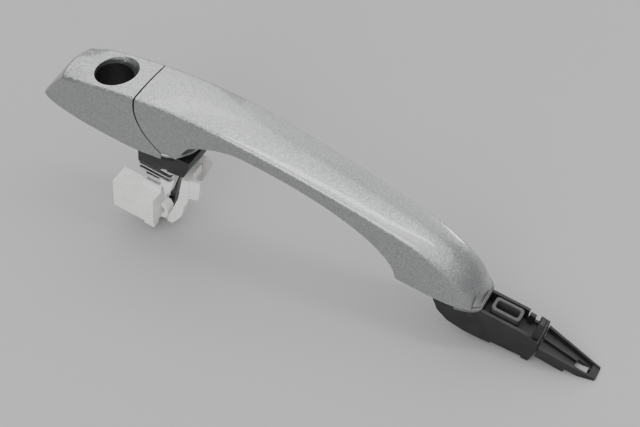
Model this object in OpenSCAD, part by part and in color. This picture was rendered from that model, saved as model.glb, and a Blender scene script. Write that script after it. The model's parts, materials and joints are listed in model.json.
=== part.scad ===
// Outside door handle of a car: a painted pull grip hinged at its front end,
// a fixed end cap with a key hole at its rear end, and the nylon and steel
// pieces that reach through the door skin.
// Z = 0 is the door skin, +Z points out of the door, +X runs towards the hinge
// and the origin lies on the axis of the key cylinder.

/* [Painted body] */
// Outer face above the door skin at the highest point
peak_z = 36.1; // [35:0.1:37]
// Distance of the highest point from the key hole
peak_x = 66; // [64:1:68]
// Length of the painted body behind the key hole
rear_len = 34.5; // [33:0.5:36]
// Length of the painted body in front of the key hole
front_len = 199.5; // [198:0.5:201]
// Half the width of the end cap at the door skin
cap_half_w = 17; // [16:0.1:17.5]
// Half the width of the front block at the door skin
nose_half_w = 14; // [13.5:0.1:14.5]
// Wall of the painted mouldings
wall = 2.2; // [2:0.1:2.6]
// Gap between the end cap and the grip
split_gap = 0.9; // [0.8:0.1:1.2]

/* [Finger space] */
// Clear height between the door skin and the grip
finger_h = 26.1; // [25.5:0.1:26.5]
// Distance of the highest part of the underside from the key hole
arch_x = 76; // [75:0.5:77]

/* [Key hole] */
// Radius of the bore for the key cylinder
key_r = 9.2; // [8.8:0.1:9.4]
// Radius of the chamfered rim on the outer face
rim_r = 10.4; // [10.1:0.1:10.8]
// Outer radius of the key sleeve
sleeve_r = 11; // [10.8:0.1:11.4]

/* [Pull leg and hinge] */
// Distance of the pull leg from the key hole
leg_x = 38; // [37.5:0.1:38.5]
// Depth of the leg's tip below the door skin
leg_depth = 53; // [50:0.5:55]
// Hinge axis at the front, measured from the key hole
hinge_x = 222; // [220:0.5:224]
// Hinge axis below the door skin
hinge_z = -13; // [-13.5:0.5:-12.5]

/* [Guide behind the door] */
// Top of the guide block below the door skin
block_top = 34.5; // [34:0.5:35]
// Height of the guide block
block_h = 19.5; // [19:0.5:20.5]
// Length of the guide block
block_l = 24; // [23:0.5:25]
// Depth of the stem that fills the hole in the door
stem_h = 19.5; // [18:0.5:20]

/* [Hidden] */

paint = [0.68, 0.69, 0.70];
black = [0.10, 0.10, 0.11];
nylon = [0.90, 0.90, 0.88];
steel = [0.72, 0.73, 0.75];
rubber = [0.06, 0.06, 0.06];

eps = 0.01;
arch_rear_len = 39;
arch_front_len = 84;
lobe_z = 4.2;          // underside of the grip's rear lobe, above the cap's lip
lip_z = 3.3;           // top of the cap's lip under that lobe
lip_end = 48.4;          // front end of the lip
side_n = 4;            // points up a side wall
corner_n = 4;          // points round a crease
crown_n = 5;           // points from a crease to the crest
half_n = side_n + corner_n + crown_n;
split_top = 19.6;      // place of the split on the outer face
split_level = 27;      // height below which the split curves forward
split_bend = 0.0288;

// ---- the styled surface, as functions of the place along the handle ----

function clamp01(t) = min(1, max(0, t));
function smooth(t) = let(u = clamp01(t)) u * u * (3 - 2 * u);

// height of the outer face along its middle, and how both ends are rounded off
function spine(x) = peak_z - 0.00195 * pow(min(0, x - peak_x), 2)
    - 0.00734 * pow(max(0, x - peak_x), 1.6);
function rear_round(x) = pow(max(0, 1 - pow(clamp01((-24 - x) / (rear_len - 24)), 1.2)), 0.75);
function front_round(x, end) = sqrt(max(0, 1 - pow(clamp01((x - 160) / (end - 160)), 2)));

// the crest, and the crease along each side, which reaches the door skin before the crest does
function top_z(x) = (spine(x) - 1.6 * (1 - smooth(x / 60)) + smooth((x - 145) / 40))
    * rear_round(x) * front_round(x, front_len);
function crease_z(x) = (spine(x) - 2.1) * rear_round(x) * front_round(x, front_len - 3);

// half width at the door skin and at the crease
function end_plan(u, blunt, n) = blunt + (1 - blunt) * sqrt(max(0, 1 - pow(clamp01(u), n)));
function rear_plan(x) = end_plan((-2 - x) / (rear_len - 2), 0.62, 2.2);
function front_plan(x, n) = end_plan((x - 170) / (front_len + 1 - 170), 0.4, n);
function skin_w(x) = (nose_half_w + 0.6 * smooth((115 - x) / 85)
    + (cap_half_w - nose_half_w - 0.6) * smooth((42 - x) / 24)
    - 0.7 * smooth((8 - x) / 30)) * rear_plan(x) * front_plan(x, 3);
function crease_w(x) = (13.3 - 2.6 * smooth((x - 55) / 125)) * rear_plan(x) * front_plan(x, 5);
function wall_w(x, z) = crease_w(x)
    + (skin_w(x) - crease_w(x)) * clamp01((crease_z(x) - z) / max(crease_z(x), 0.1));
function crease_r(x) = min(0.9 + 0.8 * smooth((x - 120) / 60), 0.4 * top_z(x), 0.4 * crease_w(x));

// underside: highest over the fingers, curved down to the door at both ends
function arch(x) = x < arch_x
    ? finger_h * pow(max(0, 1 - pow(clamp01((arch_x - x) / arch_rear_len), 1.5)), 1 / 1.5)
    : finger_h * pow(max(0, 1 - pow(clamp01((x - arch_x) / arch_front_len), 2)), 0.58);
function under_z(x) = x < arch_x ? max(lobe_z, arch(x) * smooth((x - 38) / 13)) : arch(x);

// one half of a section, from its foot up to the crest, inset by t
function bend(a, c, b, t) = a * pow(1 - t, 2) + c * 2 * t * (1 - t) + b * t * t;
function half_section(x, z0, t) = let(
    zc = max(z0 + 1.2, crease_z(x) - t), wc = max(3, crease_w(x) - t),
    zt = max(z0 + 1.5, top_z(x) - t), foot = [max(3.2, wall_w(x, z0) - t), z0], c = [wc, zc],
    r = min(max(crease_r(x), 0.8) - 0.2 * t + 0.5, 0.45 * norm(c - foot), 0.45 * wc),
    s = c + (foot - c) * (r / max(norm(foot - c), 0.001)),
    u = [wc - r, zc + (zt - zc) * (1 - pow((wc - r) / wc, 2))])
    concat([for (i = [0:side_n - 1]) foot + (s - foot) * (i / side_n)],
           [for (i = [0:corner_n]) bend(s, c, u, i / corner_n)],
           [for (i = [1:crown_n]) let(w = (wc - r) * (1 - i / crown_n))
               [w, zc + (zt - zc) * (1 - pow(w / wc, 2))]]);

// where the end cap and the grip part, seen from the side
function split_x(z) = split_top + split_bend * pow(min(0, max(z, lip_z) - split_level), 2);

// a point j of the half section at the fraction f of a moulding's length; the length depends
// on the height where the moulding ends at the split, so height and place are found in turn
function settle(span, foot, f, j, t, z, n) = let(x = span(f, z), p = half_section(x, foot(x), t)[j])
    n == 0 ? [x, p[0], p[1]] : settle(span, foot, f, j, t, (z + p[1]) / 2, n - 1);
function ring(span, foot, f, t) = let(
    h = [for (j = [0:half_n]) settle(span, foot, f, j, t, 12, 10)])
    concat([for (p = h) [p[0], -p[1], p[2]]], [for (j = [half_n - 1:-1:0]) h[j]]);

// faces between rings of n points; closed rings join their last point to their first
function band(m, n, at, closed, flip) = [for (i = [0:m - 2], j = [0:n - (closed ? 1 : 2)], k = [0, 1])
    let(a = at + i * n + j, b = at + i * n + (j + 1) % n, c = a + n, d = b + n,
        t = k == 0 ? [a, c, b] : [b, c, d]) flip ? [t[0], t[2], t[1]] : t];
function across(at, j, n) = j == half_n - 1 ? [at + j, at + j + 1, at + j + 2]
    : [at + j, at + j + 1, at + n - 2 - j, at + n - 1 - j];
function turned(face, flip) = flip ? [for (i = [len(face) - 1:-1:0]) face[i]] : face;

// an open moulding: an outer and an inner skin, rims along both feet and round the end at
// the split, and a closed nose; flip is for a moulding whose rings run from nose to split
module shell(outer, inner, flip) {
    n = len(outer[0]);
    m = len(outer);
    q = m * n;
    nose = (m - 1) * n;
    polyhedron(points = concat([for (r = outer) each r], [for (r = inner) each r]),
        faces = concat(band(m, n, 0, false, flip), band(m, n, q, false, !flip),
            [for (i = [0:m - 2], k = [0, n - 1]) let(a = i * n + k)
                turned([a, a + q, a + q + n, a + n], (k == 0) == flip)],
            [for (j = [0:n - 2]) turned([j, j + 1, j + 1 + q, j + q], flip)],
            [for (j = [0:half_n - 1]) each [turned(across(nose, j, n), !flip),
                                            turned(across(nose + q, j, n), flip)]],
            [turned([nose, nose + n - 1, nose + n - 1 + q, nose + q], flip)]));
}
// a closed solid through closed rings
module loft(rings) {
    n = len(rings[0]);
    m = len(rings);
    polyhedron(points = [for (r = rings) each r],
        faces = concat([[for (j = [0:n - 1]) j]], band(m, n, 0, true, false),
            [[for (j = [n - 1:-1:0]) (m - 1) * n + j]]));
}
function at_x(x, pts) = [for (p = pts) [x, p[0], p[1]]];

// fractions from 0 to 1 that are close together at both ends
function cosine(n) = [for (i = [0:n]) (1 - cos(180 * i / n)) / 2];
function between(a, b, n) = [for (f = cosine(n)) a + (b - a) * f];

// ---- shapes shared by several pieces ----

// plan of the cap's foot: tapered behind, round in front
module foot_plan(inset) {
    w = skin_w(34) - inset;
    polygon(concat(
        [for (x = between(inset - rear_len, 34, 14)) [x, inset - skin_w(x)]],
        [for (a = [-75:15:75]) [34 + (lip_end - 34 - inset) * cos(a), w * sin(a)]],
        [for (x = between(34, inset - rear_len, 14)) [x, skin_w(x) - inset]]));
}
// a plate standing in the XZ plane between two values of Y
module plate_y(y0, y1, pts) {
    translate([0, y1, 0]) rotate([90, 0, 0]) linear_extrude(y1 - y0) polygon(pts);
}
module block(a, b) { translate(a) cube(b - a); }
// way for the leg through the stem and the lip
module leg_slot() { block([leg_x - 9.5, -3.2, -60], [leg_x + 5.6, 3.2, 30]); }
// countersunk tapping screw along +Z, its head at z = 0
module screw(r, l) {
    cylinder(h = 1.4, r1 = 2 * r, r2 = 2 * r, $fn = 24);
    translate([0, 0, 1.4 - eps]) cylinder(h = l, r = r, $fn = 24);
}

// ---- the fixed end cap and what holds it ----

// painted moulding with the key hole; hollow, with a lip under the grip's rear lobe
module end_cap() {
    outer = function (f, z) split_x(z) - (split_x(z) + rear_len) * f;
    inner = function (f, z) split_x(z) - (split_x(z) + rear_len - wall) * f;
    foot = function (x) 0;
    color(paint) difference() {
        union() {
            shell([for (f = cosine(18)) ring(outer, foot, f, 0)],
                  [for (f = cosine(18)) ring(inner, foot, f, wall)], true);
            intersection() {
                translate([0, 0, lip_z - 2]) linear_extrude(2) foot_plan(0.4);
                block([24, -30, 0], [60, 30, 10]);
            }
        }
        translate([0, 0, 10]) cylinder(h = 30, r = key_r + 0.2, $fn = 96);
        translate([0, 0, top_z(0) - 1.5]) rotate([0, -10, 0])
            cylinder(h = 3, r1 = key_r - 0.3, r2 = rim_r + 1.5, $fn = 96);
        leg_slot();
    }
}

// black frame inside the cap: floor, tower round the sleeve and screw bosses
module cap_carrier() {
    color(black) difference() {
        union() {
            translate([0, 0, 0.2]) linear_extrude(2.4) intersection() {
                foot_plan(wall + 0.4);
                translate([-50, -30]) square([69, 60]);
            }
            intersection() {
                translate([0, 0, 0.2]) cylinder(h = 16, r = sleeve_r + 2.2, $fn = 64);
                block([-20, -11.8, 0], [20, 11.8, 20]);
            }
            for (y = [-6.5, 6.5]) translate([-21, y, 0.2]) cylinder(h = 9, r = 2.8, $fn = 32);
            block([-22, -1, 2], [-12, 1, 12]);
            block([12, -10, 2], [14, 10, 16]);
        }
        translate([0, 0, -1]) cylinder(h = 30, r = sleeve_r, $fn = 96);
        for (y = [-6.5, 6.5]) translate([-21, y, -1]) cylinder(h = 9, r = 1.4, $fn = 24);
    }
}

// black sleeve that the key cylinder slides through
module key_sleeve() {
    color(black) difference() {
        union() {
            translate([0, 0, -6]) cylinder(h = 26.8, r = sleeve_r, $fn = 96);
            translate([0, 0, -6]) cylinder(h = 1.5, r = sleeve_r + 1.4, $fn = 96);
        }
        translate([0, 0, -7]) cylinder(h = 30, r = key_r, $fn = 96);
    }
}

// rubber ring that seals the sleeve against the door
module sleeve_seal() {
    color(rubber) translate([0, 0, -3.6]) rotate_extrude($fn = 64)
        translate([sleeve_r + 0.8, 0]) circle(r = 0.8, $fn = 16);
}

// two tapping screws that hold the cap to its carrier, driven from the door side
module cap_screws() {
    color(steel) for (y = [-6.5, 6.5]) translate([-21, y, -1.2]) screw(1.4, 7.6);
}

// soft seal between the cap and the door skin, with a groove of its own for the sleeve
module rear_gasket() {
    color(rubber) difference() {
        translate([0, 0, -1.6]) linear_extrude(1.6) foot_plan(1.2);
        translate([0, 0, -3]) cylinder(h = 5, r = sleeve_r + 1.8, $fn = 96);
        for (y = [-6.5, 6.5]) translate([-21, y, -3]) cylinder(h = 5, r = 3.2, $fn = 32);
        block([19, -11.5, -3], [60, 11.5, 5]);
    }
}

// black stem through the door skin; the pull leg runs in its slot
module cap_stem() {
    color(black) difference() {
        union() {
            plate_y(-10.5, 9, [[19.5, 0], [48.6, 0], [48.3, -4], [45.6, -12], [37, -13.6],
                [32.5, -stem_h], [19.5, -stem_h]]);
            block([19.6, -8, 0], [33, 8, 1.1]);
        }
        leg_slot();
        // corner cut away on the near side for the frame's tab
        plate_y(-11, -3.8, [[29.5, -25], [29.5, -18.9], [32.9, -13.6], [36, -12.6], [40, -25]]);
        // step along the near side for the spring clips
        block([18, -11, -stem_h - 1], [29.5, -8.6, -16.4]);
        // weight-saving pocket on the far side
        block([22, 4.6, -17], [28, 12, -4]);
    }
}

// two thin spring strips that clamp the stem on the door's inner panel
module stem_clips() {
    color(steel) for (z = [-15.4, -18.2])
        plate_y(-12.6, -10.5, [[21.5, z], [38, z - 0.4], [40, z + 1.2], [40, z + 1.9],
            [37.6, z + 0.4], [21.5, z + 0.8]]);
}

nut_z = -46;       // height of the threaded insert

// white nylon block that takes the retaining screw from the door's edge
module guide_block() {
    x0 = 7.5;
    z0 = -block_top - block_h;
    color(nylon) difference() {
        union() {
            block([x0, -16, z0], [x0 + block_l, -5.4, -block_top]);
            // foot at the front lower corner
            block([x0 + 18.4, -15.8, z0 - 2], [x0 + block_l + 0.2, -11.6, z0 + 3]);
        }
        // pocket behind the nut, and the slot that leads down to it
        block([x0 + 14.2, -13.6, z0 + 3], [x0 + block_l - 1.6, -7.2, -block_top - 3]);
        block([22.4, -8.2, -42], [30.2, -6.2, -30]);
        translate([x0 - 1, -10.7, nut_z]) rotate([0, 90, 0])
            cylinder(h = 20, r = 3.4, $fn = 48);
    }
}

// threaded insert in the block
module retaining_nut() {
    color(steel) translate([7.9, -10.7, nut_z]) rotate([0, 90, 0]) difference() {
        cylinder(h = 12, r = 3.4, $fn = 48);
        translate([0, 0, -1]) cylinder(h = 14, r = 2.1, $fn = 48);
    }
}

// white nylon frame: hangs from the stem, carries the block and bridges the leg's tip
module guide_frame() {
    color(nylon) difference() {
        union() {
            plate_y(-5.4, -3.9, [[20.5, -stem_h], [31.6, -stem_h], [33.4, -26], [32.2, -42],
                [32.2, -58.6], [24, -58.6], [20.5, -50]]);
            // ring of the ledge over the block
            plate_y(-9.4, -5.4, [[21.5, -30.4], [31.8, -30.4], [31.8, 0.1 - block_top],
                [20.6, 0.1 - block_top], [20.6, -31.4]]);
            // eye in front of the block
            plate_y(-9.2, -3.9, [[31.7, -43], [34.2, -43.6], [35.6, -46], [35.6, -50], [34.2, -53],
                [31.7, -54.2]]);
            // bridge under the leg's tip
            plate_y(-5.3, -2.6, [[26, -56.6], [37.6, -56], [36.6, -59.6], [28, -60]]);
            // tab beside the top of the leg
            plate_y(-8.2, -4.2, [[30, -stem_h], [33.4, -14.6], [38.6, -14.2], [38.9, -22], [36, -33],
                [33.6, -36], [31, -26]]);
        }
        // slot in the ledge, and the mouth of the eye
        block([22.4, -8.2, -36], [30.2, -6.2, -28]);
        plate_y(-10, -5.4, [[31, -45.4], [33.4, -45.8], [34.2, -48], [33.4, -50.8], [31, -51.4]]);
        // window beside the bridge
        block([26.5, -10, -55], [30.4, 0, -49.5]);
    }
}

// white nylon arm on the other side of the leg, with its ear
module guide_arm() {
    color(nylon) {
        plate_y(-8.4, -3.9, [[43.4, -17.4], [47.6, -15.6], [47.2, -31], [45, -37.5], [43.4, -46],
            [40.6, -51.5], [37.7, -55.9], [34.9, -55.9], [35.4, -53], [37.4, -46], [41.4, -33]]);
        plate_y(-8, -6.2, [[46.8, -16.2], [53.6, -13.6], [52.8, -27], [46.6, -30]]);
        plate_y(-5, 4.6, [[43.4, -17.4], [46.6, -16], [46.6, -21], [43.2, -21]]);
    }
}

// translucent wing on the far side that snaps behind the door's inner panel
module guide_wing() {
    color([0.85, 0.85, 0.85]) difference() {
        union() {
            translate([46.2, 8.4, -17.4]) rotate([90, 0, 0]) cylinder(h = 1.8, r = 4.2, $fn = 48);
            plate_y(6.6, 8.4, [[42.6, -14], [42.2, -33], [45, -33], [49.4, -20.4]]);
            plate_y(4.6, 6.6, [[42.2, -14], [45, -14], [45, -24], [42.2, -24]]);
        }
        translate([46.2, 10, -17.4]) rotate([90, 0, 0]) cylinder(h = 6, r = 1.1, $fn = 24);
    }
}

// felt wiper at the mouth of the leg's slot
module leg_wiper() {
    color(rubber) difference() {
        block([leg_x - 9.4, -3.1, -3.4], [leg_x + 5.5, 3.1, -1.8]);
        block([leg_x - 8.6, -2.5, -4], [leg_x + 4.9, 2.5, -1]);
    }
}

// ---- the moving grip ----

// painted outer shell, open on its underside
module grip_shell() {
    outer = function (f, z) let(s = split_x(z) + split_gap) s + (front_len - s) * f;
    inner = function (f, z) let(s = split_x(z) + split_gap) s + (front_len - wall - s) * f;
    foot = function (x) under_z(x);
    color(paint) shell([for (f = cosine(32)) ring(outer, foot, f, 0)],
        [for (f = cosine(32)) ring(inner, foot, f, wall)], false);
}

// lower cover of the grip, which the fingers touch; sits between the shell's walls
module grip_back() {
    h = 1.6;
    color(paint) loft([for (x = between(43, 158, 26)) let(w = wall_w(x, under_z(x)) - wall - 0.2,
        z = under_z(x) + 0.1) at_x(x, [[-w, z], [w, z], [w, z + h], [-w, z + h]])]);
}

// black beam inside the grip that joins the leg to the hinge foot
module grip_core() {
    color(black) loft([for (x = between(31.5, front_len - 8, 24)) let(z = max(12, under_z(x) + 3.2)
        * smooth((196 - x) / 34) + 2 * smooth((x - 162) / 34),
        t = max(z + 1, min(z + 9, crease_z(x) - wall - 0.8)),
        w = min(crease_w(x), skin_w(x)) - wall - 1.2)
        at_x(x, [[-w, z], [w, z], [w, t - 0.6], [w - 0.6, t], [0.6 - w, t], [-w, t - 0.6]])]);
}

// tapping screws through the lower cover into the beam
module back_screws() {
    color(steel) for (x = [62, 122]) translate([x, 0, under_z(x) + 2.5]) cylinder(h = 2.8, r = 1.3, $fn = 24);
}

// die-cast leg that pulls the latch lever behind the door
module pull_leg() {
    color(black) {
        plate_y(-2, 2, [[leg_x - 7, 12], [leg_x + 3, 12], [leg_x + 2.6, -12], [leg_x - 1, -30],
            [leg_x - 4, -leg_depth], [leg_x - 6, -leg_depth], [leg_x - 5.4, -34], [leg_x - 3, -14],
            [leg_x - 3.6, -2]]);
        // head that is screwed into the beam
        block([leg_x - 7.6, -3, 9], [leg_x + 3.6, 3, 12]);
        // flange that closes the grip's rear lobe
        block([leg_x - 1.2, -11.8, lobe_z + 0.2], [leg_x + 4.8, 11.8, lobe_z + 1.8]);
    }
}

// nylon slipper over the tip of the leg
module leg_slipper() {
    color([0.2, 0.2, 0.21]) for (y = [-3, 2])
        plate_y(y, y + 1, [[leg_x - 6.4, -leg_depth + 0.2], [leg_x - 3.8, -leg_depth + 0.2],
            [leg_x - 2.6, -45], [leg_x - 6, -43.6]]);
}

// ---- the hinge foot at the front of the grip ----

foot_y = 7;        // half the width of the foot
foot_floor = -9;   // floor of the channel in its top
tongue_root = 229.3;
tongue_dip = 12;   // degrees
pad_x = 189.2;     // rear edge of the foam pad under the nose

// black moulding that hooks behind the door skin
module hinge_foot() {
    color(black) difference() {
        plate_y(-foot_y, foot_y, [[177, -0.2], [189, -0.2], [189, -1.9], [218.5, -2.1], [229, -4],
            [229.4, -10.5], [227.5, -19.8], [212.3, -20.8], [201.4, -21.9], [195.3, -22],
            [187, -20.6], [181.2, -16.6], [178, -10.9], [177, -5]]);
        // channel between the near ledge and the far wall
        block([200.5, -foot_y + 1.5, foot_floor], [225, foot_y - 1.5, 2]);
        // open end of the channel towards the tongue
        block([219, -foot_y + 3, foot_floor + 1.5], [224.6, foot_y + 1, 2]);
        // bores for the two cross pins and the hinge pin, which is blind
        for (x = [187, 196]) translate([x, foot_y + 1, -9]) rotate([90, 0, 0])
            cylinder(h = 2 * foot_y + 2, r = 1.5, $fn = 32);
        translate([hinge_x, foot_y + 1, hinge_z]) rotate([90, 0, 0])
            cylinder(h = 2 * foot_y, r = 2, $fn = 48);
        // relief along the lower edge of the near face
        block([209, -foot_y - 1, -22], [224, -foot_y + 0.8, -17.6]);
    }
}

// two blackened pins across the foot, and the pin that the handle swings on
module foot_pins() {
    color(black) for (x = [187, 196]) translate([x, foot_y - 0.1, -9]) rotate([90, 0, 0])
        cylinder(h = 2 * foot_y - 0.2, r = 1.5, $fn = 32);
    color(black) translate([hinge_x, foot_y - 0.1, hinge_z]) rotate([90, 0, 0])
        cylinder(h = 2 * foot_y - 1.2, r = 2, $fn = 48);
}

// oblong rubber buffer in the channel, hollow in the middle
module foot_buffer() {
    color([0.3, 0.3, 0.3]) translate([210.4, 0, foot_floor]) difference() {
        linear_extrude(8.4) hull() for (x = [-5.2, 5.2], y = [-2, 2])
            translate([x, y]) circle(r = 1.8, $fn = 32);
        translate([0, 0, 2]) linear_extrude(10) hull() for (x = [-4.2, 4.2], y = [-1, 1])
            translate([x, y]) circle(r = 1.3, $fn = 32);
    }
}

// upright stop at the end of the channel
module stop_post() {
    color(black) plate_y(-6, -2.2, [[225.1, -3.1], [228.2, -3.6], [228.4, 7.6],
        [227.8, 8.4], [226.2, 8.4], [225.4, 7.6]]);
    color(black) plate_y(4.5, 6.4, [[219.6, -7.5], [222.6, -7.5], [222.6, -3.4], [219.6, -3]]);
}

// tapered tongue that slides into the bracket behind the door skin
module locking_tongue() {
    color(black) difference() {
        tongue_body();
        // cut square to the end of the foot
        block([220, -10, -30], [229.5, 10, 5]);
    }
}
module tongue_body() {
    translate([tongue_root, 0, -7.4]) rotate([0, tongue_dip, 0]) difference() {
        union() {
            // web
            translate([0, 0, -4]) linear_extrude(1.8)
                polygon([[0, -6.6], [28.6, -3.2], [28.6, 3.2], [0, 6.6]]);
            // near, middle and far rails
            for (y = [-1, 0.1, 1]) translate([0, 0, -4]) linear_extrude(4.6 - 1.2 * (1 - abs(y)))
                polygon([[0, 6.6 * y - 0.8], [28.6, 3.2 * y - 0.6], [28.6, 3.2 * y + 0.2], [0, 6.6 * y + 0.6]]);
            // step under the near side
            translate([0, 0, -6.6]) linear_extrude(2.8) polygon([[0, -7], [15.6, -5.4], [15.6, -3], [0, -4]]);
            // solid tip
            translate([25.2, -3.3, -4.4]) cube([3.6, 6.6, 4.4]);
        }
        // window near the tip
        translate([18.4, -2, -10]) cube([6.2, 4, 20]);
    }
}

// soft seal under the front block of the grip
module front_gasket() {
    inset = 3.2;
    color(rubber) difference() {
        linear_extrude(1.6) polygon(concat(
            [for (x = between(163, pad_x - 0.4, 10)) [x, inset - skin_w(x)]],
            [for (x = between(pad_x - 0.4, 163, 10)) [x, skin_w(x) - inset]]));
        block([176, -foot_y - 0.6, -1], [210, foot_y + 0.6, 3]);
    }
}

// light grey foam pad under the tip of the painted nose
module foot_pad() {
    color([0.6, 0.6, 0.6]) translate([0, 0, -1.8]) linear_extrude(1.7) polygon(concat(
        [for (x = between(pad_x, front_len + 0.8, 10)) [x, -skin_w(x)]],
        [for (x = between(front_len + 0.8, pad_x, 10)) [x, skin_w(x)]]));
}

end_cap();
cap_carrier();
key_sleeve();
sleeve_seal();
cap_screws();
rear_gasket();
cap_stem();
stem_clips();
guide_block();
guide_frame();
guide_arm();
guide_wing();
retaining_nut();
leg_wiper();
grip_shell();
grip_back();
grip_core();
back_screws();
pull_leg();
leg_slipper();
hinge_foot();
foot_pins();
foot_buffer();
stop_post();
locking_tongue();
front_gasket();
foot_pad();
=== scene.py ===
import json
import math

import bmesh
import bpy
import numpy as np
from mathutils import Matrix, Vector


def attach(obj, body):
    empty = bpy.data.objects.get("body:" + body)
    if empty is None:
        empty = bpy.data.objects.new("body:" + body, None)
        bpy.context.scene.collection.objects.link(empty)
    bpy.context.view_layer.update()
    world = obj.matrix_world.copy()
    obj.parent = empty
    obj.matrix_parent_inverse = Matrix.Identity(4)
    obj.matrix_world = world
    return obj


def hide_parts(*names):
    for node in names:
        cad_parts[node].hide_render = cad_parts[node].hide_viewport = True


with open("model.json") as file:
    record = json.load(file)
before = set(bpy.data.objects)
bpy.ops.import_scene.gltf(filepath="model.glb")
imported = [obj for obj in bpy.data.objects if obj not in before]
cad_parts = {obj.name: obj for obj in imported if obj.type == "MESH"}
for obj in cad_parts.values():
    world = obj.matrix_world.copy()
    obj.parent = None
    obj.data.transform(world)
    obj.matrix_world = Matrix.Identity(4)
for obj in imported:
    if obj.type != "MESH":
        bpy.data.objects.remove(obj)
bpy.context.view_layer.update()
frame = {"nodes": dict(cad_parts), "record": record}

# ---------------------------------------------------------------------------
# Table, light and camera. The handle lies off the car on a plain pale table,
# which is tilted against the door plane that the model is drawn in. The rear
# bracket stands on it, the hinge foot is just clear of it, and the tip of the
# tongue reaches 3 mm into it.
# ---------------------------------------------------------------------------
MM = 0.001


def linear(code, alpha=1.0):
    """An sRGB hex colour as linear red, green, blue and alpha."""
    c = np.array([int(code[i:i + 2], 16) for i in (1, 3, 5)]) / 255
    c = np.where(c <= 0.04045, c / 12.92, ((c + 0.055) / 1.055) ** 2.4)
    return (*c.tolist(), alpha)


def node(tree, kind, settings=None, **inputs):
    """Adds a node with its settings, and sets or links its inputs by name or number."""
    n = tree.nodes.new(kind)
    for key, value in (settings or {}).items():
        setattr(n, key, value)
    for key, value in inputs.items():
        socket = n.inputs[int(key[1:])] if key[0] == "_" else n.inputs[key.replace("_", " ")]
        if isinstance(value, bpy.types.NodeSocket):
            tree.links.new(value, socket)
        else:
            socket.default_value = value
    return n


def material(name):
    """An empty material with a Principled shader, and its node tree."""
    mat = bpy.data.materials.new(name)
    mat.use_nodes = True
    return mat, mat.node_tree, mat.node_tree.nodes["Principled BSDF"]


def mesh_piece(name, points, faces, mat, smooth=35):
    """A mesh object from points in mm and faces, shaded smooth below an angle in degrees."""
    mesh = bpy.data.meshes.new(name)
    mesh.from_pydata((np.asarray(points, float) * MM).tolist(), [], [list(map(int, f)) for f in faces])
    mesh.validate()
    mesh.update()
    mesh.shade_smooth()
    mesh.set_sharp_from_angle(angle=math.radians(smooth))
    mesh.materials.append(mat)
    obj = bpy.data.objects.new(name, mesh)
    bpy.context.scene.collection.objects.link(obj)
    return obj


# The bracket's foot touches the table here, and the table rises towards the hinge foot.
REST_X, REST_Z, RISE = 29.5, -60.7, 0.2035
TABLE_REACH = 750

table_mat, tree, shader = material("Table_board_matt")
board_noise = node(tree, "ShaderNodeTexNoise", Scale=6.0, Detail=2.0)
board_tone = node(tree, "ShaderNodeMix", {"data_type": "RGBA"}, _0=board_noise.outputs["Fac"],
                  _6=linear("#9C9C9C"), _7=linear("#A0A0A0"))
tree.links.new(board_tone.outputs[2], shader.inputs["Base Color"])
shader.inputs["Roughness"].default_value = 0.9
shader.inputs["Specular IOR Level"].default_value = 0.1
grid = np.array([(x, y) for x in (-TABLE_REACH, TABLE_REACH) for y in (-TABLE_REACH, TABLE_REACH)], float)
table = mesh_piece("table_top", np.c_[grid[:, 0] + 110, grid[:, 1],
                                      REST_Z + RISE * (grid[:, 0] + 110 - REST_X)],
                   [(0, 2, 3, 1)], table_mat)

# The camera's right, up and viewing directions, and the handle's origin seen from it in metres.
RIGHT = Vector((0.8649, 0.4924, 0.0970))
UP = Vector((-0.4437, 0.6598, 0.6064))
AHEAD = Vector((-0.2346, 0.5676, -0.7892))
ORIGIN_SEEN = Vector((-98.44, 51.41, 580.62)) * MM
LONG_SIDE_FOCAL = 1200 / 640
turn = Matrix((RIGHT, UP, -AHEAD)).transposed()
camera_data = bpy.data.cameras.new("camera")
camera_data.sensor_width = 36
camera_data.lens = 36 * LONG_SIDE_FOCAL
camera = bpy.data.objects.new("camera", camera_data)
camera.matrix_world = turn.to_4x4()
camera.location = turn @ Vector((-ORIGIN_SEEN.x, -ORIGIN_SEEN.y, ORIGIN_SEEN.z))
bpy.context.scene.collection.objects.link(camera)
bpy.context.scene.camera = camera


def soft_light(name, place, size, power, target=(0.1, 0.0, 0.0)):
    """A square area light in metres and watts that faces the target."""
    data = bpy.data.lights.new(name, "AREA")
    data.size, data.energy = size, power
    light = bpy.data.objects.new(name, data)
    light.location = place
    light.rotation_euler = (Vector(place) - Vector(target)).to_track_quat("Z", "Y").to_euler()
    bpy.context.scene.collection.objects.link(light)


soft_light("window_light", (-0.85, 0.8, 0.85), 1.2, 10)
soft_light("room_fill", (0.09, -0.95, 0.55), 0.7, 7)
soft_light("far_wall", (0.2, 1.5, 0.5), 1.4, 7)
soft_light("ceiling_light", (0.1, -0.15, 1.3), 2.6, 34)
soft_light("far_window", (0.55, 1.6, 0.12), 0.3, 2.5)
tube = bpy.data.lights.new("ceiling_tube", "AREA")
tube.shape, tube.size, tube.size_y, tube.energy = "RECTANGLE", 1.05, 0.12, 3.6
tube = bpy.data.objects.new("ceiling_tube", tube)
tube.location, tube.rotation_euler = (0.215, 0.155, 1.15), (0, 0, math.radians(12.6))
bpy.context.scene.collection.objects.link(tube)
world = bpy.data.worlds.new("studio")
bpy.context.scene.world = world
world.use_nodes = True
world.node_tree.nodes["Background"].inputs["Color"].default_value = linear("#FFFFFF")
world.node_tree.nodes["Background"].inputs["Strength"].default_value = 0.3

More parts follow.
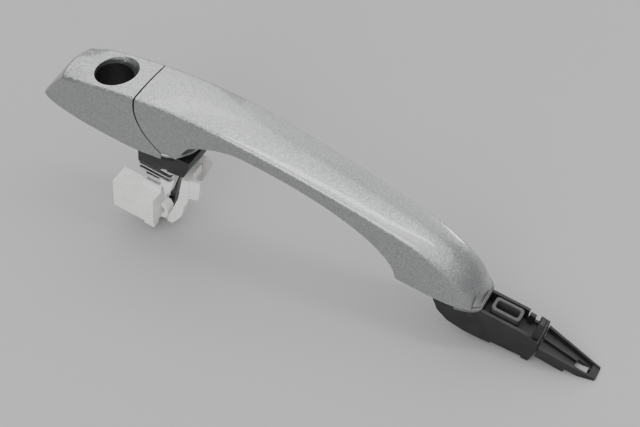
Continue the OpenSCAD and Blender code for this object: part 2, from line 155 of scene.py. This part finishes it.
# ---------------------------------------------------------------------------
# The painted body's surface. The end cap and the grip are styled as one form:
# a crested outer face, a crisp crease along each side and drafted side walls.
# Each function gives a height or a half width in mm at places x along it.
# ---------------------------------------------------------------------------
PEAK_Z, PEAK_X = 36.07, 66
REAR_LEN, FRONT_LEN, WALL = 34.5, 199.5, 2.2
CAP_HALF, NOSE_HALF, FINGER_H, ARCH_X = 17, 14, 26.1, 76
LIP_Z, LOBE_Z, LIP_END, SPLIT_GAP = 3.3, 4.2, 48.4, 0.9


def clamp01(t):
    """The value held between 0 and 1."""
    return np.clip(t, 0, 1)


def smooth(t):
    """Three t squared minus two t cubed, held between 0 and 1."""
    u = clamp01(t)
    return u * u * (3 - 2 * u)


def spine(x):
    """Height along the middle: a parabola towards the cap, a power of 1.6 towards the hinge."""
    return PEAK_Z - 0.00195 * np.minimum(0, x - PEAK_X) ** 2 - 0.00734 * np.maximum(0, x - PEAK_X) ** 1.6


def ends(x, front):
    """1 between the two ends; behind it breaks off at an edge, in front it is a quarter ellipse."""
    rear = (1 - clamp01((-24 - x) / (REAR_LEN - 24)) ** 1.2) ** 0.75
    return rear * np.sqrt(1 - clamp01((x - 160) / (front - 160)) ** 2)


def top_z(x):
    """Crest: the spine, lowered over the cap where the face is flatter."""
    return (spine(x) - 1.6 * (1 - smooth(x / 60)) + smooth((x - 145) / 40)) * ends(x, FRONT_LEN)


def crease_z(x):
    """Crease along each side, which reaches the door skin before the crest does."""
    return (spine(x) - 2.1) * ends(x, FRONT_LEN - 3)


def plan(x, n):
    """How much both ends narrow in plan: blunt quarter-rounds, 1 between them."""
    rear = 0.62 + 0.38 * np.sqrt(1 - clamp01((-2 - x) / (REAR_LEN - 2)) ** 2.2)
    return rear * (0.4 + 0.6 * np.sqrt(1 - clamp01((x - 170) / (FRONT_LEN + 1 - 170)) ** n))


def skin_w(x):
    """Half width at the door skin: smooth steps down from the cap to the lobe and to the nose."""
    return (NOSE_HALF + 0.6 * smooth((115 - x) / 85)
            + (CAP_HALF - NOSE_HALF - 0.6) * smooth((42 - x) / 24)
            - 0.7 * smooth((8 - x) / 30)) * plan(x, 3)


def crease_w(x):
    """Half width at the crease."""
    return (13.3 - 2.6 * smooth((x - 55) / 125)) * plan(x, 5)


def wall_w(x, z):
    """Half width of the side wall at the height z, straight from crease to door skin."""
    zc = crease_z(x)
    return crease_w(x) + (skin_w(x) - crease_w(x)) * clamp01((zc - z) / np.maximum(zc, 0.1))


def under_z(x):
    """Underside of the grip: highest over the fingers, superelliptic down to both ends."""
    rear = FINGER_H * (1 - clamp01((ARCH_X - x) / 39) ** 1.5) ** (1 / 1.5)
    front = FINGER_H * (1 - clamp01((x - ARCH_X) / 84) ** 2) ** 0.58
    return np.where(x < ARCH_X, np.maximum(LOBE_Z, rear * smooth((x - 38) / 13)), front)


def split_x(z):
    """Side view of the split between cap and grip: a parabola below its straight top."""
    return 19.6 + 0.0288 * np.minimum(0, np.maximum(z, LIP_Z) - 27) ** 2


SIDE, CORNER, CROWN, HALVINGS = 20, 10, 22, 24
HALF = SIDE + CORNER + CROWN


def half_section(x, foot, inset, j):
    """Point j of the half section at x, for arrays of x and j that match: a straight side, a
    quadratic Bezier round the crease, and a parabola from there up to the crest."""
    zc = np.maximum(foot + 1.2, crease_z(x) - inset)
    wc = np.maximum(3, crease_w(x) - inset)
    zt = np.maximum(foot + 1.5, top_z(x) - inset)
    wf = np.maximum(3.2, wall_w(x, foot) - inset)
    side = np.hypot(wc - wf, zc - foot)
    r = np.maximum(np.minimum(np.minimum(0.9 + 0.8 * smooth((x - 120) / 60), 0.4 * top_z(x)),
                              0.4 * crease_w(x)), 0.8) - 0.2 * inset + 0.5
    r = np.minimum(np.minimum(r, 0.45 * side), 0.45 * wc)
    sy, sz = wc + (wf - wc) * r / side, zc + (foot - zc) * r / side
    uy = wc - r
    uz = zc + (zt - zc) * (1 - (uy / wc) ** 2)
    a = clamp01(j / SIDE)
    b = clamp01((j - SIDE) / CORNER)
    c = clamp01((j - SIDE - CORNER) / CROWN)
    ey = sy * (1 - b) ** 2 + 2 * wc * b * (1 - b) + uy * b * b
    ez = sz * (1 - b) ** 2 + 2 * zc * b * (1 - b) + uz * b * b
    ty = uy * (1 - c)
    tz = zc + (zt - zc) * (1 - (ty / wc) ** 2)
    y = np.where(j <= SIDE, wf + (sy - wf) * a, np.where(j <= SIDE + CORNER, ey, ty))
    z = np.where(j <= SIDE, foot + (sz - foot) * a, np.where(j <= SIDE + CORNER, ez, tz))
    return y, z


def skin(along, foot, inset, rings):
    """A grid of points over the outer face: rings at cosine-spaced fractions of the length, each
    running from one foot over the crest to the other. along(f, z) gives x; since a point's
    height depends on x and the split on its height, the two are found in turn, each step
    going half way."""
    f, j = np.meshgrid((1 - np.cos(np.linspace(0, np.pi, rings))) / 2, np.arange(HALF + 1),
                       indexing="ij")
    z = np.full(f.shape, 12.0)
    for _ in range(HALVINGS):
        x = along(f, z)
        y, height = half_section(x, foot(x), inset, j)
        z = (z + height) / 2
    near = np.stack([x, -y, z], -1)
    far = np.stack([x, y, z], -1)[:, HALF - 1::-1]
    return np.concatenate([near, far], 1)


def grid_faces(rows, columns, start=0, flip=False):
    """Quads between neighbouring points of a grid, as an array of four numbers a row."""
    i, j = np.meshgrid(np.arange(rows - 1), np.arange(columns - 1), indexing="ij")
    a = (start + i * columns + j).ravel()
    quads = np.stack([a, a + columns, a + columns + 1, a + 1], -1)
    return quads[:, ::-1] if flip else quads


def open_shell(name, outer, inner, mat, flip, edge):
    """Outer and inner grids joined by rims along both feet and the split, with a closed nose,
    then its hard edges rounded by a bevel of the given width in mm."""
    m, n = outer.shape[:2]
    q = m * n
    nose = (m - 1) * n
    faces = [grid_faces(m, n, 0, flip), grid_faces(m, n, q, not flip)]
    i = np.arange(m - 1)
    for k in (0, n - 1):
        a = i * n + k
        rim = np.stack([a, a + q, a + q + n, a + n], -1)
        faces.append(rim[:, ::-1] if (k == 0) == flip else rim)
    j = np.arange(n - 1)
    rim = np.stack([j, j + 1, j + 1 + q, j + q], -1)
    faces.append(rim[:, ::-1] if flip else rim)
    faces = [list(f) for part in faces for f in part.tolist()]
    for k in range(n // 2):
        across = sorted({k, k + 1, n - 2 - k, n - 1 - k})
        faces += [[nose + p for p in across], [nose + q + p for p in across]]
    faces.append([nose, nose + n - 1, nose + n - 1 + q, nose + q])
    piece = mesh_piece(name, np.concatenate([outer.reshape(-1, 3), inner.reshape(-1, 3)]), faces, mat)
    bm = bmesh.new()
    bm.from_mesh(piece.data)
    bmesh.ops.recalc_face_normals(bm, faces=bm.faces)
    bm.to_mesh(piece.data)
    bm.free()
    round_edges(piece, edge)
    return piece


def round_edges(piece, width, segments=2, angle=40):
    """A live bevel on edges sharper than the angle, with shading that keeps flat faces flat."""
    bevel = piece.modifiers.new("edge_rounding", "BEVEL")
    bevel.width = width * MM
    bevel.segments = segments
    bevel.limit_method = "ANGLE"
    bevel.angle_limit = math.radians(angle)
    bevel.harden_normals = True


# ---------------------------------------------------------------------------
# Silver basecoat with aluminium flakes under a clear coat, sprayed. Flakes are
# drawn near 0.5 mm, coarser than real ones, so that their sparkle shows: each
# lies a few degrees off the surface and so mirrors its own bit of the room.
# ---------------------------------------------------------------------------
paint, tree, shader = material("Silver_metallic_paint")
place = node(tree, "ShaderNodeTexCoord").outputs["Object"]
FLAKE_MM = 0.5
flake = node(tree, "ShaderNodeTexVoronoi", {"feature": "F1"}, Vector=place, Scale=1000 / FLAKE_MM)
flake_value = node(tree, "ShaderNodeSeparateColor", _0=flake.outputs["Color"])
cloud = node(tree, "ShaderNodeTexNoise", Vector=place, Scale=45.0, Detail=3.0)
tone = node(tree, "ShaderNodeMix", {"data_type": "RGBA"}, _0=flake_value.outputs[0],
            _6=linear("#8A8B8C"), _7=linear("#A4A5A6"))
shade = node(tree, "ShaderNodeMapRange", _0=cloud.outputs["Fac"], _3=0.92, _4=1.04)
drift = node(tree, "ShaderNodeVectorMath", {"operation": "SCALE"},
             _0=tone.outputs[2], Scale=shade.outputs[0])
tree.links.new(drift.outputs[0], shader.inputs["Base Color"])
level = node(tree, "ShaderNodeVectorMath", {"operation": "SUBTRACT"},
             _0=flake.outputs["Color"], _1=(0.5, 0.5, 0.5))
tilt = node(tree, "ShaderNodeVectorMath", {"operation": "SCALE"}, _0=level.outputs[0], Scale=0.26)
lean = node(tree, "ShaderNodeVectorMath", {"operation": "ADD"}, _0=tilt.outputs[0],
            _1=node(tree, "ShaderNodeNewGeometry").outputs["Normal"])
facet = node(tree, "ShaderNodeVectorMath", {"operation": "NORMALIZE"}, _0=lean.outputs[0])
tree.links.new(facet.outputs[0], shader.inputs["Normal"])
shader.inputs["Roughness"].default_value = 0.42
shader.inputs["Metallic"].default_value = 0.95
shader.inputs["Coat Weight"].default_value = 1.0
shader.inputs["Coat Roughness"].default_value = 0.06

# ---------------------------------------------------------------------------
# End cap: a painted moulding over the key cylinder, with a chamfered key hole
# and a lip that runs on under the grip's rear lobe. It is screwed to a carrier.
# ---------------------------------------------------------------------------
KEY_R, BOW_MM, CAP_RINGS, EDGE_MM = 9.2, 3.0, 110, 0.5


def bowed(points):
    """Rounds the cap's rear edge in plan: moves points forward by the bow times y / 13 squared,
    growing smoothly behind x = -10 and from the door skin up to the crease."""
    x, y, z = np.moveaxis(points, -1, 0)
    shift = BOW_MM * (y / 13) ** 2 * smooth((-10 - x) / 14) * clamp01(z / 15)
    return np.stack([x + shift, y, z], -1)


cap = open_shell("end_cap_skin",
                 bowed(skin(lambda f, z: split_x(z) - (split_x(z) + REAR_LEN) * f,
                            lambda x: 0 * x, 0, CAP_RINGS)),
                 bowed(skin(lambda f, z: split_x(z) - (split_x(z) + REAR_LEN - WALL) * f,
                            lambda x: 0 * x, WALL, CAP_RINGS)), paint, True, EDGE_MM)


def turned_solid(name, profile, place, sides=96):
    """A solid of revolution about Z: a profile of radius and height in mm carried round a
    circle, closed at both ends, then moved."""
    profile = np.array(profile, float)
    a = np.linspace(0, 2 * np.pi, sides, endpoint=False)
    pts = np.stack([np.outer(np.cos(a), profile[:, 0]), np.outer(np.sin(a), profile[:, 0]),
                    np.tile(profile[:, 1], (sides, 1))], -1)
    pts = pts.reshape(-1, 3) + np.array(place)
    k = len(profile)
    i, j = np.meshgrid(np.arange(sides), np.arange(k - 1), indexing="ij")
    a0, b0 = (i * k + j).ravel(), ((i + 1) % sides * k + j).ravel()
    faces = np.stack([a0, b0, b0 + 1, a0 + 1], -1).tolist()
    faces.append([s * k for s in range(sides)][::-1])
    faces.append([s * k + k - 1 for s in range(sides)])
    return mesh_piece(name, pts, faces, paint)


def cut(piece, *cutters):
    """Cuts closed solids out of a piece, then removes them."""
    for cutter in cutters:
        step = piece.modifiers.new("cut", "BOOLEAN")
        step.object, step.solver = cutter, "EXACT"
    names = [m.name for m in piece.modifiers if m.type == "BOOLEAN"]
    others = [m for m in piece.modifiers if m.type != "BOOLEAN"]
    for m in others:
        m.show_viewport = False
    whole = bpy.data.meshes.new_from_object(piece.evaluated_get(bpy.context.evaluated_depsgraph_get()))
    for m in others:
        m.show_viewport = True
    for name in names:
        piece.modifiers.remove(piece.modifiers[name])
    piece.data = whole
    whole.set_sharp_from_angle(angle=math.radians(35))
    for cutter in cutters:
        bpy.data.objects.remove(cutter)


# The chamfer's cone stands upright in a face that rises forward, so its rim widens to the front.
key_z = float(top_z(np.array(-KEY_R))) - 0.4
cut(cap, turned_solid("key_way", [(KEY_R, 0), (KEY_R, 20)], (0, 0, 15)),
    turned_solid("key_chamfer", [(KEY_R - 0.5, -1), (KEY_R + 4, 8)], (0, 0, key_z)))
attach(cap, "door_side")
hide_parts("end_cap")


def collar_surface(name, inner, outer, low, sides=128):
    """Tube round the key hole from the height low up to 0.75 mm under the outer face, or to
    0.15 mm under the chamfer, which rises 2 mm for each mm of radius, where that is lower."""
    a = np.linspace(0, 2 * np.pi, sides, endpoint=False)
    rings = []
    for radius, at_top in ((inner, 0), (inner, 1), (outer, 1), (outer, 0)):
        x, y = radius * np.cos(a), radius * np.sin(a)
        face = (np.minimum(top_z(x) - 0.75, key_z + 2 * (radius - KEY_R) - 0.15) if at_top
                else np.full(sides, float(low)))
        rings.append(np.stack([x, y, face], -1))
    pts = np.stack(rings, 1).reshape(-1, 3)
    i, j = np.meshgrid(np.arange(sides), np.arange(4), indexing="ij")
    b, k = (i + 1) % sides, (j + 1) % 4
    quads = np.stack([i * 4 + j, b * 4 + j, b * 4 + k, i * 4 + k], -1).reshape(-1, 4)
    return mesh_piece(name, pts, quads[:, ::-1], paint)


COLLAR_WALL, COLLAR_FOOT_Z = 1.1, 20.9
collar = collar_surface("key_hole_collar", KEY_R, KEY_R + COLLAR_WALL, COLLAR_FOOT_Z)
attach(collar, "door_side")
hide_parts("end_cap")

# The lip is a painted plate on the cap's foot that runs on under the grip's lobe, where a bright
# rounded edge shows below the gap.
LIP_INSET, LIP_FROM, LIP_THICK = 0.4, 24, 2
LIP_STRAIGHT_TO = 34                      # from here its outline is half an ellipse
LEG_SLOT_X, LEG_SLOT_HALF = (28.5, 43.6), 3.2
lip_half = float(skin_w(np.array(float(LIP_STRAIGHT_TO)))) - LIP_INSET
side_x = np.linspace(LIP_FROM, LIP_STRAIGHT_TO, 12)
nose_a = np.radians(np.linspace(-90, 90, 61))[1:-1]
outline = np.concatenate([
    np.c_[side_x, LIP_INSET - skin_w(side_x)],
    np.c_[LIP_STRAIGHT_TO + (LIP_END - LIP_STRAIGHT_TO - LIP_INSET) * np.cos(nose_a),
          lip_half * np.sin(nose_a)],
    np.c_[side_x[::-1], skin_w(side_x[::-1]) - LIP_INSET]])
count = len(outline)
plate = np.concatenate([np.c_[outline, np.full(count, LIP_Z - LIP_THICK)],
                        np.c_[outline, np.full(count, LIP_Z)]])
ends_and_rim = [list(range(count))[::-1], [k + count for k in range(count)]]
ends_and_rim += [[k, (k + 1) % count, (k + 1) % count + count, k + count] for k in range(count)]
lip = mesh_piece("end_cap_lip", plate, ends_and_rim, paint)
slot_box = [(x, y, z) for x in LEG_SLOT_X for y in (-LEG_SLOT_HALF, LEG_SLOT_HALF) for z in (0, 6)]
slot_faces = [(0, 1, 3, 2), (4, 6, 7, 5), (0, 4, 5, 1), (2, 3, 7, 6), (0, 2, 6, 4), (1, 5, 7, 3)]
cut(lip, mesh_piece("leg_way", slot_box, slot_faces, paint))
round_edges(lip, 0.7, 4, 30)
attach(lip, "door_side")
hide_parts("end_cap")

# ---------------------------------------------------------------------------
# Grip: two painted mouldings clipped together round a beam. The outer shell
# takes the crest and the side walls, and the lower cover, which the fingers
# touch, closes it from below.
# ---------------------------------------------------------------------------
def grip_along(nose):
    """x at the fraction f of the way from the split, whose place depends on z, to the nose."""
    def along(f, z):
        start = split_x(z) + SPLIT_GAP
        return start + (nose - start) * f
    return along


GRIP_RINGS = 260
grip = open_shell("grip_outer_shell", skin(grip_along(FRONT_LEN), under_z, 0, GRIP_RINGS),
                  skin(grip_along(FRONT_LEN - WALL), under_z, WALL, GRIP_RINGS), paint, False, EDGE_MM)
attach(grip, "grip")
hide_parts("grip_shell")

COVER_START, COVER_END, COVER_THICK, COVER_GAP = 43, 158, 1.6, 0.12


def cover_grid(x, across, lift):
    """Lower cover at places x: across runs from -1 to 1 between the shell's walls, and the
    face lies above the underside by the lift and 0.1 mm, plus 0.1 times one minus across squared."""
    w = wall_w(x, under_z(x)) - WALL - COVER_GAP
    return np.stack([x, w * across, under_z(x) + lift + 0.1 + 0.1 * (1 - across ** 2)], -1)


f, across = np.meshgrid((1 - np.cos(np.linspace(0, np.pi, 160))) / 2, np.linspace(-1, 1, 25),
                        indexing="ij")
cover_x = COVER_START + (COVER_END - COVER_START) * f
lower, upper = cover_grid(cover_x, across, 0), cover_grid(cover_x, across, COVER_THICK)
m, n = f.shape
q = m * n
edge = np.concatenate([np.arange(n), np.arange(1, m) * n + n - 1, (m - 1) * n + np.arange(n - 2, -1, -1),
                       np.arange(m - 2, 0, -1) * n])
rim = np.stack([edge, np.roll(edge, -1), np.roll(edge, -1) + q, edge + q], -1)
faces = np.concatenate([grid_faces(m, n), grid_faces(m, n, q, True), rim])
cover = mesh_piece("grip_lower_cover",
                   np.concatenate([lower.reshape(-1, 3), upper.reshape(-1, 3)]), faces, paint)
cover_mesh = bmesh.new()
cover_mesh.from_mesh(cover.data)
bmesh.ops.recalc_face_normals(cover_mesh, faces=cover_mesh.faces)
cover_mesh.to_mesh(cover.data)
cover_mesh.free()
round_edges(cover, 0.3)
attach(cover, "grip")
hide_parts("grip_back")

# ---------------------------------------------------------------------------
# Beam and carrier: black mouldings that the painted shells are screwed to, one
# inside the grip and one inside the cap, where it also holds the liner of the
# key hole.
# ---------------------------------------------------------------------------
def finish(mat, *sources):
    """Gives CAD nodes that are shown as they are their material."""
    for source in sources:
        frame["nodes"][source].data.materials.clear()
        frame["nodes"][source].data.materials.append(mat)


# Glass-filled nylon, black, moulded in a spark-eroded tool: a satin skin with a fine grain,
# a little greyer where fibres come to the surface.
black_nylon, tree, shader = material("Glass_filled_nylon_black")
place = node(tree, "ShaderNodeTexCoord").outputs["Object"]
GRAIN_MM = 0.5
grain = node(tree, "ShaderNodeTexNoise", Vector=place, Scale=1000 / GRAIN_MM, Detail=4.0, Roughness=0.6)
streak = node(tree, "ShaderNodeTexNoise", Vector=place, Scale=120.0, Detail=5.0, Distortion=0.6)
tone = node(tree, "ShaderNodeValToRGB", _0=streak.outputs["Fac"])
tone.color_ramp.elements[0].position = 0.35
tone.color_ramp.elements[0].color = linear("#121214")
tone.color_ramp.elements[1].position = 0.75
tone.color_ramp.elements[1].color = linear("#1F1F21")
tree.links.new(tone.outputs["Color"], shader.inputs["Base Color"])
rough = node(tree, "ShaderNodeMapRange", _0=grain.outputs["Fac"], _3=0.38, _4=0.58)
tree.links.new(rough.outputs[0], shader.inputs["Roughness"])
skin_bump = node(tree, "ShaderNodeBump", Strength=0.25, Distance=0.0001, Height=grain.outputs["Fac"])
tree.links.new(skin_bump.outputs["Normal"], shader.inputs["Normal"])
finish(black_nylon, "grip_core", "cap_carrier", "key_sleeve")

# ---------------------------------------------------------------------------
# Seals: moulded rubber between the painted body and the door skin, round the
# key sleeve and at the mouth of the leg's slot.
# ---------------------------------------------------------------------------
BODY_OF = {n: body for body, nodes in frame["record"]["behaviour"]["bodies"].items() for n in nodes}


def softened(source, mat, width, segments=3):
    """Remakes a CAD node with its triangles joined into flat faces and every edge rounded by a
    width in mm: the small radius that a mould, a die or plating leaves."""
    mesh = frame["nodes"][source].data.copy()
    mesh.name = source + "_moulded"
    bm = bmesh.new()
    bm.from_mesh(mesh)
    bmesh.ops.remove_doubles(bm, verts=bm.verts, dist=2e-6)
    bmesh.ops.dissolve_limit(bm, angle_limit=math.radians(2), verts=bm.verts, edges=bm.edges)
    bm.to_mesh(mesh)
    bm.free()
    mesh.shade_smooth()
    mesh.set_sharp_from_angle(angle=math.radians(30))
    mesh.materials.clear()
    mesh.materials.append(mat)
    obj = bpy.data.objects.new(source + "_moulded", mesh)
    bpy.context.scene.collection.objects.link(obj)
    round_edges(obj, width, segments, 30)
    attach(obj, BODY_OF[source])
    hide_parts(source)


# Soft black rubber: matt, with a dusty bloom.
rubber, tree, shader = material("EPDM_rubber_black")
place = node(tree, "ShaderNodeTexCoord").outputs["Object"]
bloom = node(tree, "ShaderNodeTexNoise", Vector=place, Scale=250.0, Detail=5.0)
tone = node(tree, "ShaderNodeMix", {"data_type": "RGBA"}, _0=bloom.outputs["Fac"],
            _6=linear("#111112"), _7=linear("#242425"))
tree.links.new(tone.outputs[2], shader.inputs["Base Color"])
skin_bump = node(tree, "ShaderNodeBump", Strength=0.2, Distance=0.0001, Height=bloom.outputs["Fac"])
tree.links.new(skin_bump.outputs["Normal"], shader.inputs["Normal"])
shader.inputs["Roughness"].default_value = 0.75
finish(rubber, "sleeve_seal", "rear_gasket", "front_gasket")
softened("leg_wiper", rubber, 0.1)

# ---------------------------------------------------------------------------
# Stem: fills the hole in the door below the cap, with two spring strips that
# clamp it on the inner panel. The screws of the cap, the cover and the block
# are steel like the strips.
# ---------------------------------------------------------------------------
softened("cap_stem", black_nylon, 0.35)

# Zinc-plated spring steel and screws: rolled, with fine lines along the strip.
steel, tree, shader = material("Zinc_plated_steel")
place = node(tree, "ShaderNodeTexCoord").outputs["Object"]
stretch = node(tree, "ShaderNodeMapping", Vector=place, Scale=(60, 900, 900))
lines = node(tree, "ShaderNodeTexNoise", Vector=stretch.outputs["Vector"], Scale=1.0, Detail=3.0)
tone = node(tree, "ShaderNodeMix", {"data_type": "RGBA"}, _0=lines.outputs["Fac"],
            _6=linear("#A8A9AB"), _7=linear("#D4D5D6"))
tree.links.new(tone.outputs[2], shader.inputs["Base Color"])
rough = node(tree, "ShaderNodeMapRange", _0=lines.outputs["Fac"], _3=0.25, _4=0.42)
tree.links.new(rough.outputs[0], shader.inputs["Roughness"])
shader.inputs["Metallic"].default_value = 1.0
softened("stem_clips", steel, 0.12)
finish(steel, "cap_screws", "back_screws", "retaining_nut")

# ---------------------------------------------------------------------------
# Guide behind the door: white block that takes the retaining screw, the frame
# that carries it, and an arm on the other side of the leg, all in natural
# nylon.
# ---------------------------------------------------------------------------
# Natural nylon: milky, lets a little light in, and shows the flow of the melt as faint clouds.
white_nylon, tree, shader = material("Natural_nylon_moulded")
place = node(tree, "ShaderNodeTexCoord").outputs["Object"]
flow = node(tree, "ShaderNodeTexNoise", Vector=place, Scale=90.0, Detail=4.0, Distortion=1.2)
tone = node(tree, "ShaderNodeValToRGB", _0=flow.outputs["Fac"])
tone.color_ramp.elements[0].position = 0.3
tone.color_ramp.elements[0].color = linear("#DCDCDA")
tone.color_ramp.elements[1].position = 0.7
tone.color_ramp.elements[1].color = linear("#EEEEEC")
tree.links.new(tone.outputs["Color"], shader.inputs["Base Color"])
tool_marks = node(tree, "ShaderNodeTexNoise", Vector=place, Scale=900.0, Detail=3.0)
skin_bump = node(tree, "ShaderNodeBump", Strength=0.12, Distance=0.0001, Height=tool_marks.outputs["Fac"])
tree.links.new(skin_bump.outputs["Normal"], shader.inputs["Normal"])
shader.inputs["Roughness"].default_value = 0.42
shader.inputs["Subsurface Weight"].default_value = 0.1
shader.inputs["Subsurface Scale"].default_value = 0.002
softened("guide_block", white_nylon, 0.5)
softened("guide_frame", white_nylon, 0.3)
softened("guide_arm", white_nylon, 0.35)

# Unfilled nylon of the wing on the far side, thin enough to be translucent.
clear_nylon, tree, shader = material("Unfilled_nylon_translucent")
place = node(tree, "ShaderNodeTexCoord").outputs["Object"]
flow = node(tree, "ShaderNodeTexNoise", Vector=place, Scale=140.0, Detail=3.0)
tone = node(tree, "ShaderNodeMix", {"data_type": "RGBA"}, _0=flow.outputs["Fac"],
            _6=linear("#D0D0CE"), _7=linear("#E6E6E4"))
tree.links.new(tone.outputs[2], shader.inputs["Base Color"])
shader.inputs["Roughness"].default_value = 0.3
shader.inputs["Transmission Weight"].default_value = 0.45
shader.inputs["Subsurface Weight"].default_value = 0.3
shader.inputs["Subsurface Scale"].default_value = 0.003
softened("guide_wing", clear_nylon, 0.3)

# ---------------------------------------------------------------------------
# Pull leg: a zinc casting screwed to the beam, which pulls the latch lever.
# Its nylon slipper rides on that lever. The foot's pins have the same black
# coat.
# ---------------------------------------------------------------------------
# Black electrophoretic coat on zinc: satin, with the faint ripple of the casting under it.
black_zinc, tree, shader = material("Zinc_casting_black_coated")
place = node(tree, "ShaderNodeTexCoord").outputs["Object"]
ripple = node(tree, "ShaderNodeTexNoise", Vector=place, Scale=160.0, Detail=3.0)
tone = node(tree, "ShaderNodeMix", {"data_type": "RGBA"}, _0=ripple.outputs["Fac"],
            _6=linear("#161617"), _7=linear("#262627"))
tree.links.new(tone.outputs[2], shader.inputs["Base Color"])
rough = node(tree, "ShaderNodeMapRange", _0=ripple.outputs["Fac"], _3=0.28, _4=0.4)
tree.links.new(rough.outputs[0], shader.inputs["Roughness"])
skin_bump = node(tree, "ShaderNodeBump", Strength=0.15, Distance=0.0002, Height=ripple.outputs["Fac"])
tree.links.new(skin_bump.outputs["Normal"], shader.inputs["Normal"])
softened("pull_leg", black_zinc, 0.35)
softened("leg_slipper", black_nylon, 0.2)
finish(black_zinc, "foot_pins")

# ---------------------------------------------------------------------------
# Hinge foot: a black moulding that hooks behind the door skin, with an upright
# stop, a rubber buffer in its channel, a tapered tongue, and a foam pad under
# the painted nose.
# ---------------------------------------------------------------------------
softened("hinge_foot", black_nylon, 0.45)
softened("stop_post", black_nylon, 0.3)
softened("locking_tongue", black_nylon, 0.25)

# Dark grey rubber, dulled by dust.
grey_rubber, tree, shader = material("Grey_rubber")
place = node(tree, "ShaderNodeTexCoord").outputs["Object"]
bloom = node(tree, "ShaderNodeTexNoise", Vector=place, Scale=420.0, Detail=5.0)
tone = node(tree, "ShaderNodeMix", {"data_type": "RGBA"}, _0=bloom.outputs["Fac"],
            _6=linear("#2E2E2F"), _7=linear("#4C4C4D"))
tree.links.new(tone.outputs[2], shader.inputs["Base Color"])
shader.inputs["Roughness"].default_value = 0.6
softened("foot_buffer", grey_rubber, 0.3)

# Closed-cell foam with open pores where it was cut.
foam, tree, shader = material("Grey_foam")
place = node(tree, "ShaderNodeTexCoord").outputs["Object"]
pores = node(tree, "ShaderNodeTexVoronoi", Vector=place, Scale=1600.0)
tone = node(tree, "ShaderNodeMix", {"data_type": "RGBA"}, _0=pores.outputs["Distance"],
            _6=linear("#4E4E4E"), _7=linear("#6E6E6D"))
tree.links.new(tone.outputs[2], shader.inputs["Base Color"])
skin_bump = node(tree, "ShaderNodeBump", Strength=0.5, Distance=0.0002, Height=pores.outputs["Distance"])
tree.links.new(skin_bump.outputs["Normal"], shader.inputs["Normal"])
shader.inputs["Roughness"].default_value = 0.85
softened("foot_pad", foam, 0.3)
